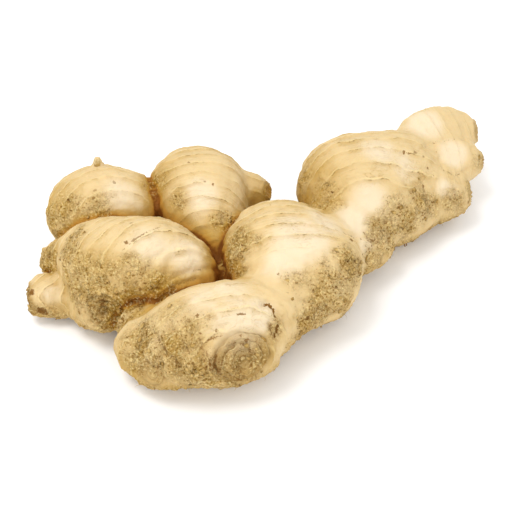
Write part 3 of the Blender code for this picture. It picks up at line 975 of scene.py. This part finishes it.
        # pale: pale smooth skin together with painted highlights on the lobe tops and finger domes
        pale = np.clip(self.patch_mask(PATCHES[Zone.PALE_AND_HIGHLIGHT]) + 0.12 * ragged, 0, 1) * (1 - 0.6 * rough)
        gold = np.clip(self.patch_mask(PATCHES[Zone.GOLD]) + 0.3 * ragged * (rough > 0.05) + 0.7 * low, 0, 1)
        brown = self.patch_mask(PATCHES[Zone.BROWN])
        eye_number, eye_amount, open_skin = np.zeros(count), np.zeros(count), np.ones(count)
        sway = 0.1 * noise_at(points, 6.0, seed=9)
        for eye in EYES.values():
            share = np.linalg.norm(points - np.array(eye.place), axis=1) / eye.radius + sway
            inside = 1 - smooth_step(share, 0.85, 1.2)
            eye_number = np.where(inside > 0, share * eye.radius / self.eye_line_gap, eye_number)
            eye_amount = np.maximum(eye_amount, inside * (0.35 + 0.65 * eye.stain))
            open_skin *= 1 - inside
            gold = np.maximum(gold, eye.stain * 0.9 * (1 - smooth_step(share, 0.5, 1.2)))
            rough = np.maximum(rough, eye.stain * 0.7 * (1 - smooth_step(share, 0.7, 1.2)))
        number, amount = np.zeros(count), np.zeros(count)
        wander = RING_WANDER * noise_at(points, WANDER_SIZE, seed=1) + 0.35 * noise_at(points, 5.0, seed=6)
        self.ring_fade = np.clip(0.75 + 0.6 * noise_at(points, WANDER_SIZE, seed=2), 0.3, 1.2)
        for place, name in enumerate(names):
            lobe = LOBES[name]
            own = owner == place
            along = (points[own] - np.array(lobe.bulges[0].centre)) @ lobe.line()
            number[own] = (along + wander[own]) / lobe.ring_gap
            begin, end = np.array(lobe.ring_reach) / lobe.ring_gap
            inside = np.clip(number[own] - begin, 0, 1) * np.clip(end - number[own], 0, 1)
            amount[own] = min(lobe.ring_height, 1.0) * inside
        amount *= np.clip(self.ring_fade, 0, 1) * (1 - 0.7 * seam) * open_skin
        mark_gap, mark_dark, self.mark_depth = self.marks()
        self.lines = np.array([LOBES[name].line() for name in names])[owner]
        self.numbers = {
            "rough": rough,
            "pale": pale,
            "gold": gold,
            "brown": np.clip(brown, 0, 1),
            # painted shade: the share of hidden sky, plus the seams between lobes, darkens the clefts' colour
            "cleft": np.clip(self.hidden_share() + 0.15 * seam + 0.45 * self.seam, 0, 1),
            "mark_gap": mark_gap,
            "mark_dark": mark_dark,
            "ring": number,
            "ring_amount": np.clip(amount, 0, 1),
            "eye": eye_number,
            "eye_amount": eye_amount,
        }

    def marks(self) -> tuple[np.ndarray, np.ndarray, np.ndarray]:
        """Lays the creases and specks on the skin.

        Returns:
            For each vertex the way to the nearest mark's edge in millimetres, how dark that mark is,
            and how deep the vertex is pressed in.
        """
        draw = random.Random(5)
        specks = [Crease((pixel,), draw.uniform(0.5, 0.85), 0.25, draw.uniform(0.5, 0.9)) for pixel in SPECKS]
        count = len(self.points)
        gap, dark, depth = np.full(count, self.mark_reach), np.zeros(count), np.zeros(count)
        for mark in (*CREASES, *specks):
            places = [self.landed(pixel) for pixel in mark.pixels]
            if any(place is None for place in places):
                log.warning("a mark misses the root at %s", mark.pixels[0])
                continue
            shares = np.linspace(0, len(places) - 1, 12 * len(places) - 11)
            way = np.array([np.interp(shares, range(len(places)), axis) for axis in np.array(places).T]).T
            narrow = 0.3 + 0.7 * np.sin(np.pi * (shares + 0.5) / len(places))
            away = [np.linalg.norm(self.points - p, axis=1) - mark.width * w for p, w in zip(way, narrow)]
            edge = np.min(away, axis=0)
            dark = np.where(edge < gap, mark.dark, dark)
            gap = np.minimum(gap, edge)
            depth = np.maximum(depth, mark.depth * (1 - smooth_step(edge, -0.2, 1.6)))
        return gap, dark, depth

    def hidden_share(self) -> np.ndarray:
        """Returns: how much of the sky over each vertex the root itself hides."""
        rounds = [(0.35, 4), (0.75, 6), (1.1, 4)]
        hits, total = np.zeros(len(self.points)), 0
        helper = np.where(np.abs(self.way[:, 2:]) < 0.9, np.array([[0, 0, 1.0]]), np.array([[1.0, 0, 0]]))
        side = unit(np.cross(self.way, helper))
        other = np.cross(self.way, side)
        starts = self.points + self.way * self.ray_start
        for lean, count in rounds:
            for number in range(count):
                turn = math.tau * (number + lean) / count
                aside = math.cos(turn) * side + math.sin(turn) * other
                aim = math.sin(lean) * aside + math.cos(lean) * self.way
                total += 1
                for place, (start, way) in enumerate(zip(starts, aim)):
                    hit = self.tree.ray_cast(start, way, self.ray_reach)
                    if hit[0] is not None:
                        hits[place] += 1 - 0.6 * hit[3] / self.ray_reach
        return hits / total

    def relief(self) -> np.ndarray:
        """Returns: how far each vertex stands up from the melted form, in millimetres."""
        points, numbers = self.points, self.numbers
        turn = numbers["ring"] % 1.0
        stops = (0.0, 0.5, 0.62, 0.68, 0.8, 0.88, 1.0)
        heights = (-0.5, 0.2, self.lip, 0.45, -0.45, -0.55, -0.5)
        relief = np.zeros(len(points))
        for name, lobe in LOBES.items():
            own = np.clip(1 - (self.distances[name] - self.nearest), 0, 1)
            begin, end = np.array(lobe.ring_reach) / lobe.ring_gap
            inside = np.clip(numbers["ring"] - begin, 0, 1) * np.clip(end - numbers["ring"], 0, 1)
            mine = self.distances[name] <= self.nearest + 1e-9
            relief += np.where(mine, lobe.ring_height * np.interp(turn, stops, heights) * inside * own, 0)
        relief *= self.ring_fade * self.ring_depth
        relief += self.ripple * numbers["ring_amount"] * np.sin(numbers["ring"] * math.tau * self.ripples)
        for eye in EYES.values():
            share = np.linalg.norm(points - np.array(eye.place), axis=1) / eye.radius
            relief *= np.clip((share - eye.ridges[-1]) / 0.17, 0, 1)
            relief += self.eye_relief(share + 0.07 * noise_at(points, 4.0, seed=14), eye)
        along = (points * self.lines).sum(1, keepdims=True)
        squeeze = 1 / self.wrinkle_gap - 1 / self.wrinkle_length
        squeezed = points / self.wrinkle_length + self.lines * along * squeeze
        relief += self.wrinkle * noise_at(squeezed, 1.0, seed=5) * (0.6 + 1.2 * numbers["rough"])
        stretched = points / self.fold_gap + self.lines * along * (1 / self.fold_length - 1 / self.fold_gap)
        relief += SWELL * noise_at(points, SWELL_SIZE, seed=3)
        relief += self.lump * noise_at(points, self.lump_size, seed=7)
        folds = 1 - np.abs(noise_at(stretched, 1.0, seed=15, octaves=2)) * 3
        relief += self.fold * np.clip(folds, -1, 1) * smooth_step(numbers["rough"], 0.2, 0.9)
        _, gap, way = cells_at(points, self.scale_size, seed=2)
        tilt = (way * np.array((0.1, 0.75, 0.35))).sum(1)
        scales = np.clip(gap / 0.3, 0, 1) - 0.7 + 0.9 * tilt
        relief += self.scale_height * numbers["rough"] * scales
        puckers = noise_at(points, self.pucker_size, seed=8, octaves=2)
        relief += self.pucker * puckers * (0.35 + 1.4 * numbers["rough"])
        relief -= self.mark_depth + self.seam_depth * self.seam
        return relief * np.clip((points[:, 2] - TABLE) / CALM_HEIGHT, 0, 1)

    @staticmethod
    def eye_relief(share: np.ndarray, eye: Eye) -> np.ndarray:
        """Returns: the heights of an eye's ridges and of its sunken middle."""
        shares, heights = [0.0, eye.ridges[0] - 0.17], [-1.0, -0.8]
        for ridge in eye.ridges:
            shares += [ridge, ridge + 0.17]
            heights += [0.6, -0.2]
        heights[-1] = 0.0
        return np.interp(share, shares, np.array(heights) * eye.depth, right=0.0)


@dataclass(frozen=True)
class DryFinish:
    """Dry papery or fibrous matter: one colour clouded with a deeper one."""

    name: str
    light: Colour
    deep: Colour
    roughness: float = 0.75
    cloud: float = 260.0

    def build(self, speckle: bpy.types.NodeTree) -> bpy.types.Material:
        """Returns: the finish's material, with the root's own specks."""
        material = bpy.data.materials.new(self.name)
        material.use_nodes = True
        sheet = Sheet(material.node_tree)
        shader = material.node_tree.nodes["Principled BSDF"]
        where = sheet.node("TexCoord").outputs["Object"]
        dry = sheet.node("Group", {"Vector": where, "Dryness": 0.6}, node_tree=speckle)
        colour = sheet.blend(sheet.span(sheet.noise(where, self.cloud), 0.35, 0.65), self.light, self.deep)
        colour = sheet.blend(sheet.math("MULTIPLY", dry.outputs["Specks"], 0.5), colour, self.deep)
        sheet.feed(shader.inputs["Base Color"], colour)
        bump = sheet.node("Bump", {"Strength": 0.8, "Distance": MM, "Height": dry.outputs["Height"]})
        sheet.feed(shader.inputs["Normal"], bump.outputs["Normal"])
        shader.inputs["Roughness"].default_value = self.roughness
        shader.inputs["Specular IOR Level"].default_value = 0.2
        return material


@dataclass(frozen=True)
class Site:
    """A place on the skin: where it is, the way out of the root and the way that the root grows there."""

    place: Vector
    out: Vector
    along: Vector

    def turned(self, lean: float, spin: float, lift: float = 0.0) -> Matrix:
        """The place's own frame: X across the growth, Y along it, Z out.

        Args:
            lean: how far Z leans from the way out towards the growth, in radians.
            spin: how far the frame is spun about its Z, in radians.
            lift: how far out of the skin the frame starts, in millimetres.

        Returns:
            The frame as a matrix in the part's own metres, for shapes made in millimetres.
        """
        across = self.along.cross(self.out).normalized()
        along = self.out.cross(across).normalized()
        turn = Matrix((across, along, self.out)).transposed().to_4x4()
        start = Vector(RootForm.to_metres(np.array(self.place + lift * self.out)))
        spun = Matrix.Rotation(spin, 4, "Z") @ Matrix.Rotation(-lean, 4, "X")
        return Matrix.Translation(start) @ turn @ spun @ Matrix.Scale(MM, 4)


@dataclass(frozen=True)
class Growths:
    """Small dry things that grow on the skin, each kind gathered in one piece. Sizes are in millimetres."""

    skin: GingerSkin
    scales: int = 380
    stubs: int = 60
    fibres: int = 170
    sheath_pixel: Pixel = (97, 163)
    fibre_sides: int = 4
    fibre_steps: int = 4
    fibre_radius: float = 0.09
    fibre_taper: float = 0.75

    def sites(self, count: int, seed: int, weights: np.ndarray) -> list[Site]:
        """Draws places on the skin.

        Args:
            count: how many.
            seed: which of many unlike draws.
            weights: how likely each vertex is.

        Returns:
            The places.
        """
        chances = weights / weights.sum()
        pick = np.random.default_rng(seed).choice(len(weights), count, replace=False, p=chances)
        skin = self.skin
        return [Site(Vector(skin.raised[n]), Vector(skin.way[n]), Vector(skin.lines[n])) for n in pick]

    def off_table(self) -> np.ndarray:
        """Returns: 1 for vertices clear of the table and 0 for the rest."""
        return (self.skin.raised[:, 2] > TABLE + 3.0).astype(float)

    def scale_piece(self, material: bpy.types.Material) -> bpy.types.Object:
        """Returns: thin papery scales whose free edges lift towards the growth."""
        shape, draw = bmesh.new(), random.Random(21)
        open_skin = (1 - self.skin.numbers["cleft"]) ** 2
        weights = self.skin.numbers["rough"] ** 2 * self.off_table() * open_skin
        for site in self.sites(self.scales, 21, weights):
            size = draw.uniform(0.5, 1.15)
            shape_of = Matrix.Diagonal((size * draw.uniform(0.9, 1.8), size, 0.08, 1))
            turn = site.turned(draw.uniform(0.0, 0.28), draw.uniform(-0.7, 0.7), 0.03) @ shape_of
            made = bmesh.ops.create_icosphere(shape, subdivisions=1, radius=1.0)["verts"]
            for vert in made:
                vert.co *= draw.uniform(0.6, 1.25)
            bmesh.ops.transform(shape, matrix=turn, verts=made)
        return finished("papery_scales", shape, material)

    def stub_piece(self, material: bpy.types.Material) -> bpy.types.Object:
        """Returns: the short stubs of broken rootlets."""
        shape, draw = bmesh.new(), random.Random(34)
        weights = self.skin.numbers["rough"] ** 3 * self.off_table() * (1 - self.skin.numbers["cleft"]) ** 2
        for site in self.sites(self.stubs, 34, weights):
            wide, tall = draw.uniform(0.25, 0.45), draw.uniform(0.7, 1.3)
            turn = site.turned(draw.uniform(-0.5, 0.5), draw.uniform(0, math.tau), tall * 0.3)
            bmesh.ops.create_cone(
                shape, cap_ends=True, segments=7, radius1=wide, radius2=wide * 0.65, depth=tall, matrix=turn
            )
        return finished("rootlet_stubs", shape, material)

    def fibre_piece(self, material: bpy.types.Material) -> bpy.types.Object:
        """Returns: the fine dry fibres that stand off the rough skin."""
        shape, draw = bmesh.new(), random.Random(55)
        weights = (self.skin.numbers["rough"] ** 2 + 0.01) * self.off_table()
        for site in self.sites(self.fibres, 55, weights):
            turn = site.turned(draw.uniform(-1.0, 1.0), draw.uniform(0, math.tau), -0.2)
            self.fibre(shape, turn, draw)
        return finished("fine_fibres", shape, material)

    def fibre(self, shape: bmesh.types.BMesh, turn: Matrix, draw: random.Random) -> None:
        """Grows one fibre in bent steps, each thinner than the last.

        Args:
            shape: what it is added to.
            turn: its place, with Z as the way it starts.
            draw: where its chances come from.
        """
        base = bmesh.ops.create_circle(
            shape, cap_ends=True, segments=self.fibre_sides, radius=self.fibre_radius, matrix=turn
        )["verts"]
        edges = list({edge for vert in base for edge in vert.link_edges})
        step = turn.to_3x3() @ Vector((0, 0, draw.uniform(0.35, 0.8)))
        bend = Euler([draw.uniform(-0.45, 0.45) for _ in range(3)]).to_matrix()
        for _ in range(self.fibre_steps):
            grown = bmesh.ops.extrude_edge_only(shape, edges=edges)["geom"]
            verts = [item for item in grown if isinstance(item, bmesh.types.BMVert)]
            edges = [item for item in grown if isinstance(item, bmesh.types.BMEdge)]
            bmesh.ops.translate(shape, verts=verts, vec=step)
            middle = sum((vert.co for vert in verts), Vector()) / len(verts)
            taper = Vector((self.fibre_taper,) * 3)
            bmesh.ops.scale(shape, verts=verts, vec=taper, space=Matrix.Translation(-middle))
            step = bend @ step
        bmesh.ops.contextual_create(shape, geom=edges)
        count = self.fibre_sides * self.fibre_steps + 2
        bmesh.ops.recalc_face_normals(shape, faces=shape.faces[-count:])

    def sheath_piece(self, material: bpy.types.Material) -> bpy.types.Object | None:
        """Returns: the dry leaf sheaths round the small bud on the back left lobe."""
        middle = self.skin.landed(self.sheath_pixel)
        if middle is None:
            log.warning("the bud's sheath misses the root")
            return None
        shape = bmesh.new()
        for turn, lean, tall in ((0.3, 0.25, 3.6), (2.3, 0.2, 3.0), (4.2, 0.35, 3.9), (5.4, 0.3, 2.8)):
            site = Site(Vector(middle), Vector((0, 0, 1)), Vector((math.cos(turn), math.sin(turn), 0)))
            leaf = site.turned(lean, 0.0) @ Matrix.Translation((0, 0.5, tall * 0.3))
            bmesh.ops.create_cone(
                shape, cap_ends=True, segments=8, radius1=1.25, radius2=0.15, depth=tall, matrix=leaf
            )
        return finished("bud_sheath", shape, material)


def main() -> None:
    """Builds the dressed root and its studio."""
    logging.basicConfig(level=logging.INFO, format="%(name)s: %(message)s")
    form, view = RootForm(LOBES), PhotoView()
    view.build()
    Studio().build()
    speckle = speckle_group()
    skin_finish = SkinFinish().build(speckle)
    skin = GingerSkin(form, view)
    skin.build(skin_finish)
    paper = DryFinish("papery_skin", (0.62, 0.42, 0.15, 1), (0.36, 0.21, 0.05, 1)).build(speckle)
    stub = DryFinish("rootlet_bark", (0.46, 0.29, 0.10, 1), (0.22, 0.11, 0.025, 1)).build(speckle)
    straw = DryFinish("dry_fibre", (0.70, 0.52, 0.24, 1), (0.42, 0.26, 0.08, 1)).build(speckle)
    husk = DryFinish("bud_husk", (0.74, 0.60, 0.34, 1), (0.50, 0.34, 0.11, 1)).build(speckle)
    growths = Growths(skin)
    growths.scale_piece(paper)
    growths.stub_piece(stub)
    growths.fibre_piece(straw)
    growths.sheath_piece(husk)


if __name__ == "__main__":
    main()
